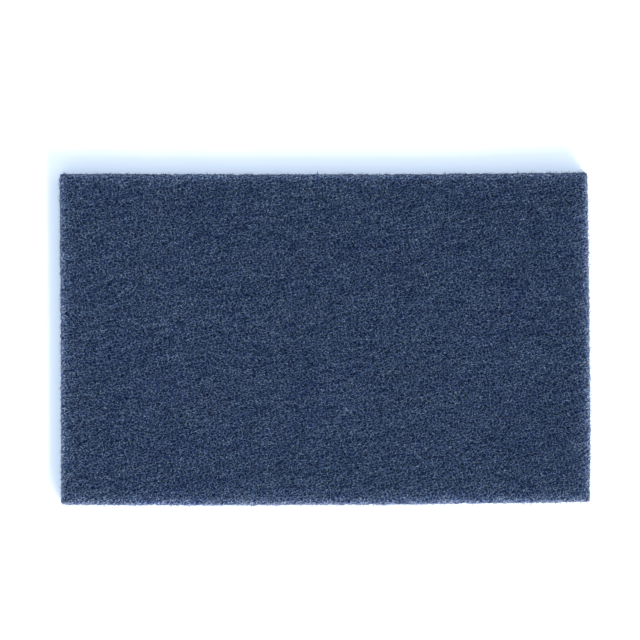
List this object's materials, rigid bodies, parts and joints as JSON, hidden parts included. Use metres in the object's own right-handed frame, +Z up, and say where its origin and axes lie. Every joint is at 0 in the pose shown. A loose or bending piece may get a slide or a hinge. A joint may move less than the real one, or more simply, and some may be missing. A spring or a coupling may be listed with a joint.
{
  "type": "non-woven abrasive pad",
  "caption": "Flat rectangular hand pad of springy abrasive fibre web, cut slightly out of square, with soft ragged edges.",
  "frame": {"origin": "centre of the pad's box, on the back face that lies on the bench", "axes": "+X along the long side to the picture's right, +Y along the short side away from the near long side (up in the picture), +Z up through the thickness"},
  "size_m": [0.2304, 0.1444, 0.0094],
  "materials": {
    "abrasive_web": "matte"
  },
  "bodies": {
    "root": {"abrasive_pad": "abrasive_web"}
  },
  "joints": []
}
